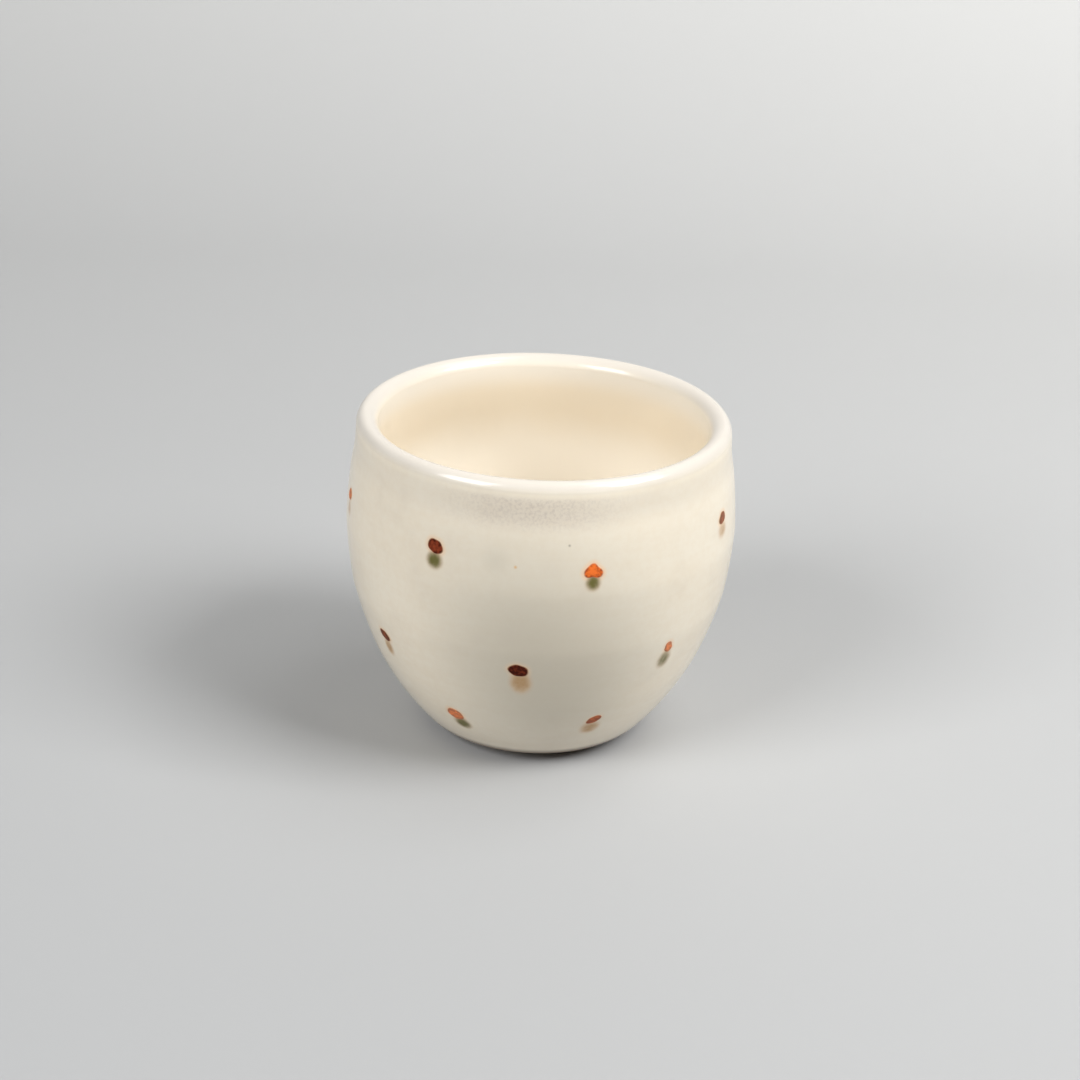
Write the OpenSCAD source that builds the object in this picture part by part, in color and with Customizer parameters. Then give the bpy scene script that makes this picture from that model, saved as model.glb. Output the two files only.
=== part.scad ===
// Wheel-thrown yunomi teacup: a turned clay body, a glaze coat inside, a glaze coat outside,
// and dabs of coloured glaze that sank into the outer coat and ran a little as they melted.
// Millimetres, +Z up, the origin at the centre of the foot on the table. The front faces -Y.

/* [Outside] */
// Height from the table to the top of the lip
cup_h = 75; // [70:0.5:82]
// Widest outside diameter, at the belly
belly_d = 88; // [84:0.5:94]
// Height of the widest place
belly_z = 50; // [47:0.5:52]
// Radius of the round side below the belly
bowl_r = 71; // [69:0.5:76]
// Lean of the wall at the foot of the neck, where it leaves the shoulder
shoulder_lean = 10.5; // [9:0.25:12]
// Lean of the straight collar under the lip
collar_lean = 4; // [2:0.25:6]
// Height of the shoulder above the belly
shoulder_h = 15; // [13:0.5:16]
// Height of the shallow neck between the shoulder and the collar
neck_h = 4; // [3:0.25:5]
// Thickness of the rounded lip
lip_t = 4.2; // [3.6:0.1:5]

/* [Inside] */
// Wall thickness at the belly, glaze included
wall_t = 4.3; // [4:0.1:5]
// Radius of the inside of the bowl
inner_bowl_r = 64; // [61:0.5:66]
// Height of the inside floor at its middle
floor_z = 8.5; // [7.5:0.25:10]
// Radius of the shallow dish of the floor
dish_r = 90; // [70:5:140]
// Radius of the bend between the floor and the wall
bend_r = 16; // [12:0.5:19]

/* [Foot] */
// Outside diameter of the foot ring on the table
foot_d = 43; // [40:0.5:44]
// Width of the foot ring on the table
foot_w = 4.2; // [3.4:0.2:5]
// Clear height under the edge of the base
foot_h = 2.4; // [2:0.1:3]
// How far the foot ring widens on its way up
foot_flare = 0.6; // [0.2:0.1:1]
// Depth of the turned recess inside the foot ring
recess_h = 3.2; // [2.6:0.2:4]
// Radius of the rounded edges of the foot ring
foot_edge_r = 0.7; // [0.4:0.1:0.9]
// Radius of the rounded edge of the base
base_edge_r = 3; // [2.4:0.2:3.6]

/* [Glaze] */
// Thickness of both glaze coats
glaze_t = 0.5; // [0.4:0.05:0.7]
// Bare ring of clay left between the foot and the outer coat
bare_w = 0.8; // [0.4:0.1:1.2]
// Radius of a coloured dab
dab_r = 1.5; // [1.3:0.05:1.7]
// How far the middle of a dab stands out of the glaze
dab_rise = 0.25; // [0.2:0.05:0.35]
// How far the edge of a dab stands out of the glaze
dab_edge = 0.1; // [0.08:0.02:0.14]
// Radius of the stain that ran down from a dab
run_r = 1.7; // [1.5:0.05:1.8]
// How far the stain ran
run_drop = 2.8; // [2.6:0.1:2.9]

/* [Hidden] */
$fn = 256;

// Outside of the wall, from the base edge up to the lip: one run of arcs, each tangent to the next
belly_r = belly_d / 2;
bowl_c = [belly_r - bowl_r, belly_z];
shoulder_r = shoulder_h / sin(shoulder_lean);
shoulder_c = [belly_r - shoulder_r, belly_z];
neck_r = neck_h / (sin(shoulder_lean) - sin(collar_lean));
neck_c = shoulder_c + (shoulder_r + neck_r) * toward(shoulder_lean);
neck_top = neck_c - neck_r * toward(collar_lean);
lip_r = lip_t / 2;
lip_z = cup_h - lip_r;
collar_top_z = lip_z + lip_r * sin(collar_lean);
lip_out = neck_top[0] - (collar_top_z - neck_top[1]) * tan(collar_lean);
lip_c = [lip_out - lip_r * cos(collar_lean), lip_z];
base_edge_z = foot_h + base_edge_r;
base_edge_c = [bowl_c[0] + leg(bowl_r - base_edge_r, belly_z - base_edge_z), base_edge_z];
base_lean = asin((belly_z - base_edge_z) / (bowl_r - base_edge_r));

// Inside of the wall, from the lip down to the middle of the floor
inner_r = belly_r - wall_t;
lip_reach = lip_c[0] - inner_r;
lip_rise = lip_z - belly_z;
mouth_r = (lip_reach * lip_reach + lip_rise * lip_rise - lip_r * lip_r) / (2 * (lip_r - lip_reach));
mouth_c = [inner_r - mouth_r, belly_z];
mouth_lean = asin(lip_rise / (mouth_r + lip_r));
inner_bowl_c = [inner_r - inner_bowl_r, belly_z];
dish_c = [0, floor_z + dish_r];
bend_c = lower_meeting(inner_bowl_c, inner_bowl_r - bend_r, dish_c, dish_r - bend_r);
bend_top = bearing(bend_c - inner_bowl_c);
bend_foot = bearing(bend_c - dish_c);

// Foot ring
foot_r = foot_d / 2;
foot_root_r = foot_r + foot_flare;
foot_in_r = foot_r - foot_w;
glaze_foot_r = foot_root_r + bare_w;
base_z = foot_h + glaze_t;

// Furthest that the straight steps of a turned outline stray from its arcs
chord_gap = 0.02;

// What each entry of a dab is: turn from the front to the right, height, length of its stroke,
// slant of its stroke, colour of the dab and colour of its run
TURN = 0;
HEIGHT = 1;
STROKE = 2;
SLANT = 3;
DAB_COLOUR = 4;
RUN_COLOUR = 5;

// Three staggered rows of eight dabs go round the cup
dabs = [
    [-76, 58, 1.0, 25, "orange", "brown"],
    [-30, 58.5, 0.8, -15, "maroon", "green"],
    [15, 56.5, 0.6, 0, "orange", "green"],
    [65, 59, 0.6, 10, "maroon", "brown"],
    [111, 57.5, 0.8, -20, "orange", "green"],
    [154, 59, 0.6, 30, "maroon", "green"],
    [198, 57, 0.9, 5, "orange", "brown"],
    [241, 58.5, 0.7, -30, "maroon", "green"],
    [-54, 30.5, 0.9, -10, "maroon", "brown"],
    [-5, 32, 1.1, -5, "maroon", "brown"],
    [43, 33.5, 0.6, 120, "orange", "green"],
    [98, 31, 0.8, 15, "maroon", "green"],
    [138, 32.5, 0.7, 60, "orange", "brown"],
    [178, 30.5, 1.0, -15, "maroon", "green"],
    [219, 32, 0.6, 100, "orange", "green"],
    [261, 31.5, 0.9, 10, "maroon", "brown"],
    [-30, 14.5, 0.9, 110, "orange", "green"],
    [22, 16, 0.8, 75, "orange", "brown"],
    [82, 15, 0.7, 0, "maroon", "green"],
    [122, 16, 0.9, -30, "orange", "green"],
    [162, 14.5, 0.6, 40, "maroon", "brown"],
    [201, 16, 0.8, 80, "orange", "green"],
    [240, 15, 0.7, -10, "maroon", "green"],
    [279, 16, 0.9, 20, "maroon", "brown"]
];
dab_dome_h = dab_rise - dab_edge;
dab_dome_r = (dab_r * dab_r + dab_dome_h * dab_dome_h) / (2 * dab_dome_h);

// Reach of a dab or a run to either side of the glaze, enough to pass through the curved coat
plug_h = 2;

cream = [0.93, 0.89, 0.8];
bare_clay = [0.8, 0.72, 0.6];
maroon = [0.42, 0.15, 0.09];
orange = [0.84, 0.33, 0.13];
moss_green = [0.46, 0.48, 0.31];
tan_brown = [0.68, 0.54, 0.4];

function toward(angle) = [cos(angle), sin(angle)];
function bearing(v) = atan2(v[1], v[0]);
function leg(hypotenuse, other) = sqrt(hypotenuse * hypotenuse - other * other);

// Points along an arc, ends included, close enough that no chord lies further than chord_gap from it
function arc(centre, radius, from, to) =
    let (turn_each = 2 * acos(1 - chord_gap / radius))
    let (steps = max(4, ceil(abs(to - from) / turn_each)))
    [for (i = [0:steps]) centre + radius * toward(from + (to - from) * i / steps)];

// The lower right of the two points where a circle round a and a circle round b cross
function lower_meeting(a, ra, b, rb) =
    let (gap = norm(b - a))
    let (along = (ra * ra - rb * rb + gap * gap) / (2 * gap))
    let (ahead = (b - a) / gap)
    a + along * ahead + leg(ra, along) * [ahead[1], -ahead[0]];

// Outside of the cup from under the base edge to the top of the lip, sunk into the wall by depth
function outside(depth) = concat(
    arc(base_edge_c, base_edge_r - depth, -90, -base_lean),
    arc(bowl_c, bowl_r - depth, -base_lean, 0),
    arc(shoulder_c, shoulder_r - depth, 0, shoulder_lean),
    arc(neck_c, neck_r + depth, 180 + shoulder_lean, 180 + collar_lean),
    arc(lip_c, lip_r - depth, collar_lean, 90)
);

// Inside of the cup from the top of the lip to the middle of the floor, sunk into the wall by depth
function inside(depth) = concat(
    arc(lip_c, lip_r - depth, 90, 180 + mouth_lean),
    arc(mouth_c, mouth_r + depth, mouth_lean, 0),
    arc(inner_bowl_c, inner_bowl_r + depth, 0, bend_top),
    arc(bend_c, bend_r + depth, bend_top, bend_foot),
    arc(dish_c, dish_r + depth, bend_foot, -90)
);

function reversed(points) = [for (i = [len(points) - 1:-1:0]) points[i]];

// Foot ring and recess, from the middle of the recess out to where the outer coat starts
foot_outline = concat(
    [[0, recess_h]],
    [[foot_in_r - foot_flare, recess_h]],
    arc([foot_in_r + foot_edge_r, foot_edge_r], foot_edge_r, 180, 270),
    arc([foot_r - foot_edge_r, foot_edge_r], foot_edge_r, -90, 0),
    [[foot_root_r, base_z]]
);

// Stands its children on the outside of the glaze, with Z straight out of it and Y up the wall
module on_wall(turn, height) {
    arc_r = height > belly_z ? shoulder_r : bowl_r;
    rotate([0, 0, turn - 90])
        translate([belly_r - arc_r, 0, belly_z])
            rotate([0, -asin((height - belly_z) / arc_r), 0])
                translate([arc_r, 0, 0])
                    rotate([90, 0, 90])
                        children();
}

// Clay under the outer coat, with no hollow
module clay_bed() {
    rotate_extrude()
        polygon(concat([[0, base_z]], outside(glaze_t), [[0, cup_h - glaze_t]]));
}

module outer_coat() {
    rotate_extrude()
        polygon(concat(
            [[glaze_foot_r, foot_h]],
            outside(0),
            reversed(outside(glaze_t)),
            [[glaze_foot_r, base_z]]
        ));
}

// A short straight stroke of two overlapping drops, each with a domed top
module dab_plug(dab) {
    half = dab[STROKE] / 2;
    on_wall(dab[TURN], dab[HEIGHT])
        for (side = [-1, 1])
            translate(side * half * concat(toward(dab[SLANT]), 0))
                intersection() {
                    translate([0, 0, -plug_h])
                        cylinder(r = dab_r, h = 2 * plug_h);
                    translate([0, 0, dab_rise - dab_dome_r])
                        sphere(r = dab_dome_r);
                }
}

// A stain below its dab
module run_plug(dab) {
    on_wall(dab[TURN], dab[HEIGHT] - run_drop)
        translate([0, 0, -plug_h])
            cylinder(r = run_r, h = 2 * plug_h);
}

module dabs_in(colour_name) {
    difference() {
        for (dab = dabs)
            if (dab[DAB_COLOUR] == colour_name)
                dab_plug(dab);
        clay_bed();
    }
}

module runs_in(colour_name) {
    intersection() {
        outer_coat();
        for (dab = dabs)
            if (dab[RUN_COLOUR] == colour_name)
                difference() {
                    run_plug(dab);
                    dab_plug(dab);
                }
    }
}

module clay_body() {
    color(bare_clay)
        rotate_extrude()
            polygon(concat(foot_outline, outside(glaze_t), inside(glaze_t)));
}

module liner_glaze() {
    color(cream)
        rotate_extrude()
            polygon(concat(inside(0), reversed(inside(glaze_t))));
}

module outer_glaze() {
    color(cream)
        difference() {
            outer_coat();
            for (dab = dabs) {
                dab_plug(dab);
                run_plug(dab);
            }
        }
}

module maroon_dabs() {
    color(maroon) dabs_in("maroon");
}

module orange_dabs() {
    color(orange) dabs_in("orange");
}

module green_runs() {
    color(moss_green) runs_in("green");
}

module brown_runs() {
    color(tan_brown) runs_in("brown");
}

clay_body();
liner_glaze();
outer_glaze();
maroon_dabs();
orange_dabs();
green_runs();
brown_runs();
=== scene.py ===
import math
from typing import NamedTuple

import bpy
from bpy.props import FloatProperty, FloatVectorProperty, PointerProperty
from mathutils import Matrix, Vector


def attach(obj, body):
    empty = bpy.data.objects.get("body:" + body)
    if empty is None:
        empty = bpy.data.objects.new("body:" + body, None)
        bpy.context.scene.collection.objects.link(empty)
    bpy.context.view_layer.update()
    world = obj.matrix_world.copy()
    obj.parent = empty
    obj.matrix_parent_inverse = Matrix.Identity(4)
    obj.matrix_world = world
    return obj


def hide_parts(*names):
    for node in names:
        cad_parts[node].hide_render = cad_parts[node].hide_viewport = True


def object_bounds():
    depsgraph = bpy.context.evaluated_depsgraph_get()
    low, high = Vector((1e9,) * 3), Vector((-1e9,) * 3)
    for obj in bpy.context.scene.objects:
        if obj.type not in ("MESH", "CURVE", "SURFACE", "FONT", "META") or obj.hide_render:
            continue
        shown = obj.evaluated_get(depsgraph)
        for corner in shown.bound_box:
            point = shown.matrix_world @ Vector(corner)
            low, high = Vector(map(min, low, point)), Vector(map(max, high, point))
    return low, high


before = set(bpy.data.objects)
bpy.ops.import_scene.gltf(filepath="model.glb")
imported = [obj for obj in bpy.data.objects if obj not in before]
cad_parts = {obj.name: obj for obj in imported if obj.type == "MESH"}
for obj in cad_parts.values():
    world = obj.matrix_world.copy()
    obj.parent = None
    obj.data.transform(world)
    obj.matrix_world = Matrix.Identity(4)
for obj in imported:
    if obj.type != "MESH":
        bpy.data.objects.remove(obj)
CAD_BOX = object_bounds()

bl_info = {
    "name": "Thrown teacup",
    "version": (1, 0, 0),
    "blender": (4, 5, 0),
    "location": "3D View > Sidebar > Teacup",
    "description": "Models a wheel-thrown teacup with dabs of coloured glaze, on a plain stage",
    "category": "Add Mesh",
}

MM = 0.001
WHEEL_STEPS = 240
# Points closer than this are one point
WELD = 0.002 * MM
# Edges sharper than this stay crisp
CREASE = math.radians(40)
# Points along an arc are at most this far apart
ARC_SPACING = 1.0 * MM
QUARTER_TURN = math.pi / 2
HALF_TURN = math.pi


class DabLook(NamedTuple):
    """How one dab and the stain below it look: sizes in millimetres, slant in degrees from level."""

    glaze: str
    long: float
    short: float
    slant: float
    # 0 is an oval, 0.2 a soft triangle that points up
    corners: float
    # 0 is the darkest that its glaze gets, 1 the lightest
    tone: float
    # Share of the cream that it took up
    melt: float
    stain: str
    stain_wide: float
    stain_tall: float
    stain_drop: float
    # How far the stain strayed to the right on its way down
    stain_shift: float
    stain_strength: float


LOOKS = {
    "brick_oval": DabLook("maroon", 4.1, 3.4, -34, 0.0, 0.62, 0.0, "green", 6.0, 6.0, 3.1, -0.1, 1.0),
    "ember_cap": DabLook("orange", 4.3, 3.3, 0, 0.15, 0.86, 0.0, "green", 5.0, 5.6, 2.6, 0.0, 0.95),
    "dark_oval": DabLook("maroon", 4.7, 3.7, -6, 0.0, 0.25, 0.0, "brown", 7.4, 10.2, 3.6, 0.5, 0.8),
    "rust_bean": DabLook("maroon", 4.1, 2.8, -22, 0.0, 0.45, 0.06, "brown", 5.0, 7.0, 3.2, 0.2, 0.8),
    "coral_bean": DabLook("orange", 4.4, 4.0, 110, 0.0, 0.6, 0.2, "green", 6.4, 6.8, 3.3, 0.9, 1.0),
    "russet_oval": DabLook("orange", 4.2, 2.6, 36, 0.0, 0.1, 0.12, "brown", 7.0, 7.8, 3.3, -0.2, 0.8),
    "ember_chip": DabLook("orange", 3.2, 2.4, 110, 0.05, 0.55, 0.25, "green", 6.0, 7.6, 3.4, -0.3, 0.78),
    "amber_edge": DabLook("orange", 3.4, 2.8, 25, 0.05, 0.5, 0.2, "brown", 5.6, 6.4, 3.2, 0.0, 0.6),
    "plum_edge": DabLook("maroon", 3.7, 2.8, 10, 0.05, 0.7, 0.14, "brown", 7.0, 6.0, 2.8, 0.0, 0.6),
}

# Turn from the front to the right in degrees, height in millimetres, and look
DABS = (
    (-76, 58, "amber_edge"),
    (-30, 58.5, "brick_oval"),
    (15, 56.2, "ember_cap"),
    (65, 59, "plum_edge"),
    (111, 57.5, "ember_cap"),
    (154, 59, "brick_oval"),
    (198, 57, "russet_oval"),
    (241, 58.5, "brick_oval"),
    (-54, 30.5, "rust_bean"),
    (-5, 32, "dark_oval"),
    (43, 33.5, "ember_chip"),
    (98, 31, "brick_oval"),
    (138, 32.5, "amber_edge"),
    (178, 30.5, "brick_oval"),
    (219, 32, "ember_cap"),
    (261, 31.5, "dark_oval"),
    (-30, 14.5, "coral_bean"),
    (22, 16, "russet_oval"),
    (82, 15, "brick_oval"),
    (122, 16, "coral_bean"),
    (162, 14.5, "plum_edge"),
    (201, 16, "ember_chip"),
    (240, 15, "brick_oval"),
    (279, 16, "rust_bean"),
)

# Specks in the outer glaze: turn and height, radius and whether iron or rust made it
SPECKS = (
    (8.2, 62, 0.45, "iron"),
    (-6.4, 57, 0.55, "rust"),
    (127, 40, 0.4, "iron"),
    (188, 52, 0.4, "rust"),
    (233, 24, 0.45, "iron"),
)

# Darker places in the outer glaze, painted shade: turn and height, how far each reaches, and how dark it
# is. The two broad ones on the front stand in for shade there, the rest are darker places like them
# round the cup
PAINTED_SHADE = (
    (4, 25, 35, 0.68),
    (0, 44, 34, 0.6),
    (-12, 58, 4.5, 0.24),
    (112, 46, 22, 0.35),
    (168, 20, 24, 0.5),
    (246, 38, 26, 0.4),
)

# Crackle under the lip, with painted shade in it: turn and height, how far each reaches, and how strong
# its crackle and shade are
CRACKLE_AND_SHADE = (
    (-2, 68, 27, 1.0),
    (124, 68, 24, 0.5),
    (212, 68, 26, 0.6),
)


def length(name, description, millimetres):
    """A size that a user can change, given in millimetres."""
    return FloatProperty(
        name=name,
        description=description,
        default=millimetres * MM,
        min=0,
        precision=5,
        unit="LENGTH",
    )


def angle(name, description, degrees):
    """An angle that a user can change, given in degrees."""
    return FloatProperty(
        name=name,
        description=description,
        default=math.radians(degrees),
        subtype="ANGLE",
    )


def colour(name, description, *rgb):
    """A colour that a user can change, in linear light."""
    return FloatVectorProperty(
        name=name,
        description=description,
        default=rgb,
        min=0,
        max=1,
        subtype="COLOR",
    )


def amount(name, description, default):
    """A plain number that a user can change."""
    return FloatProperty(name=name, description=description, default=default, min=0)


CAD_LOW, CAD_HIGH = CAD_BOX
CAD_WIDTH = min(CAD_HIGH.x - CAD_LOW.x, CAD_HIGH.y - CAD_LOW.y)
# The wall strays by up to half of this either way, so the cup keeps that far inside the CAD's box
UNEVENNESS_MM = 0.2
BELLY_RADIUS_MM = CAD_WIDTH / MM / 2 - UNEVENNESS_MM / 2
HEIGHT_MM = CAD_HIGH.z / MM - UNEVENNESS_MM / 2


class CupForm(bpy.types.PropertyGroup):
    """Sizes of the thrown cup."""

    belly_radius: length("Belly radius", "Half of the widest width", BELLY_RADIUS_MM)
    height: length("Height", "From the table to the top of the lip", HEIGHT_MM)
    belly_height: length("Belly height", "Height of the widest place", 50)
    bowl_radius: length("Bowl radius", "Radius of the round side below the belly", 71)
    shoulder_lean: angle("Shoulder lean", "Lean of the wall where the shoulder ends", 10.5)
    collar_lean: angle("Collar lean", "Lean of the collar under the lip", 4)
    shoulder_height: length("Shoulder height", "Height of the shoulder above the belly", 15)
    neck_height: length("Neck height", "Height of the shallow neck under the collar", 4)
    lip_thickness: length("Lip thickness", "Thickness of the rounded lip", 4.2)
    wall_thickness: length("Wall thickness", "Thickness at the belly, glaze included", 4.3)
    inner_bowl_radius: length("Inner bowl radius", "Radius of the inside of the bowl", 64)
    floor_height: length("Floor height", "Height of the inside floor at its middle", 8.5)
    dish_radius: length("Dish radius", "Radius of the shallow dish of the floor", 90)
    bend_radius: length("Bend radius", "Radius of the bend from the floor to the wall", 16)
    foot_radius: length("Foot radius", "Outside radius of the foot ring", 21.5)
    foot_width: length("Foot width", "Width of the foot ring on the table", 4.2)
    foot_height: length("Foot height", "Clear height under the edge of the base", 2.4)
    foot_flare: length("Foot flare", "How far the foot ring widens on its way up", 0.6)
    foot_edge: length("Foot edge", "Radius of the foot ring's rounded edges", 0.7)
    recess_height: length("Recess height", "Depth of the recess inside the foot ring", 3.2)
    base_edge: length("Base edge", "Radius of the rounded edge of the base", 3)
    glaze_thickness: length("Glaze thickness", "Thickness of both glaze coats", 0.5)
    bare_width: length("Bare ring", "Bare clay between the foot and the outer coat", 0.8)
    ring_depth: length("Ring depth", "Depth of the throwing rings inside", 0.07)
    ring_spacing: length("Ring spacing", "Height from one throwing ring inside to the next", 13.5)
    throat_swell: length("Throat swell", "How far the inside swells under the lip", 1.6)
    throat_height: length("Throat height", "Height of that swelling", 66)
    ridge_depth: length("Ridge depth", "Depth of the wall between two throwing ridges outside", 0.14)
    groove_depth: length("Groove depth", "Depth of the groove pressed in under the lip", 0.14)
    groove_height: length("Groove height", "Height of that groove", 69)
    lip_drop: length("Lip drop", "How far the rounding of the lip reaches down outside", 3.0)
    unevenness: length("Unevenness", "Span over which the hand-made wall strays", UNEVENNESS_MM)
    dab_rise: length("Dab rise", "How far a dab's middle stands out of the glaze", 0.16)


class CupColours(bpy.types.PropertyGroup):
    """Colours of the clay and the glazes."""

    cream: colour("Cream", "Glaze where it lies thick", 0.84, 0.768, 0.636)
    warm_cream: colour("Warm cream", "Glaze where the clay shows through", 0.81, 0.717, 0.57)
    inner_cream: colour("Inner cream", "Glaze inside, where it lies thickest", 0.912, 0.848, 0.738)
    # Painted shade on the upper inside wall, darker and warmer than the glaze below
    inner_shade: colour("Inner warm cream", "Glaze inside, where it ran thin", 0.848, 0.749, 0.596)
    inner_lip: colour("Inner lip", "Glaze inside, just under the lip", 0.86, 0.8, 0.7)
    # Partly glaze that ran thin on the lip, and partly painted shade that tones down its brightly lit
    # top
    lip: colour("Lip", "Glaze on the lip, where it ran thin", 0.735, 0.682, 0.605)
    # Greyish cast of the glaze here and there, and painted shade in the groove under the lip
    cast_and_groove_shade: colour("Smudge", "Grey cast of the glaze where it crackled", 0.56, 0.49, 0.415)
    # Painted shade: the colour that darkens the front of the outer glaze and the places like it
    painted_shade: colour("Smoke", "Glaze that the fire smoked", 0.5, 0.455, 0.365)
    iron: colour("Iron", "Dark specks in the glaze", 0.32, 0.28, 0.22)
    rust: colour("Rust", "Tan specks in the glaze", 0.68, 0.4, 0.15)
    bare_clay: colour("Bare clay", "Unglazed foot", 0.6, 0.47, 0.33)
    # Clay that the fire browned, and the near-black painted shade on the foot and on the glaze just
    # above it
    toasted_clay_and_shade: colour("Toasted clay", "Clay that the fire browned", 0.13, 0.076, 0.042)
    blush: colour("Blush", "Cream glaze that a dab tinged", 0.82, 0.56, 0.35)
    maroon_dark: colour("Dark maroon", "Thickest maroon glaze", 0.05, 0.006, 0.002)
    maroon_bright: colour("Bright maroon", "Thinnest maroon glaze", 0.27, 0.05, 0.019)
    orange_dark: colour("Russet", "Orange glaze with most iron", 0.24, 0.036, 0.014)
    orange_bright: colour("Bright orange", "Orange glaze with least iron", 0.86, 0.18, 0.03)
    green: colour("Green", "Stain with copper in it", 0.125, 0.11, 0.017)
    brown: colour("Brown", "Stain with iron in it", 0.42, 0.245, 0.095)


class StageLook(bpy.types.PropertyGroup):
    """The floor and the light."""

    # Painted light: the paper is one sheet, shaded in front on the left and lit behind on the right
    shaded_paper: colour("Dark paper", "Paper at its darkest, in front on the left", 0.398, 0.404, 0.409)
    lit_paper: colour("Light paper", "Paper at its lightest, behind on the right", 0.673, 0.671, 0.657)
    ambient: amount("Ambient light", "Strength of the light from all round", 0.06)
    right_light: amount("Right softbox", "Light on a surface that faces the softbox on the right", 0.91)
    left_light: amount("Left softbox", "Light on a surface that faces the softbox on the left", 0.65)
    top_light: amount("Top softbox", "Light on a surface that faces the softbox overhead", 0.2)


def toward(bearing):
    """Unit vector of an outline at a bearing from level."""
    return Vector((math.cos(bearing), math.sin(bearing)))


def bearing_of(step):
    return math.atan2(step.y, step.x)


def clamped(share):
    """The share itself, but at least 0 and at most 1."""
    return min(1, max(0, share))


def smooth_step(share):
    """0 up to 0, 1 from 1 on, smooth between them."""
    share = clamped(share)
    return share * share * (3 - 2 * share)


def soft_wave(place, spacing):
    """0 at every whole spacing, 1 halfway between two."""
    return 0.5 - 0.5 * math.cos(math.tau * place / spacing)


def leg(hypotenuse, other):
    """The third side of a right-angled triangle."""
    return math.sqrt(hypotenuse**2 - other**2)


def arc(centre, radius, start, end, least=6):
    """Points along an arc, its ends included, in at least so many steps."""
    steps = max(least, math.ceil(abs(end - start) * radius / ARC_SPACING))
    return [centre + radius * toward(start + (end - start) * i / steps) for i in range(steps + 1)]


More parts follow.
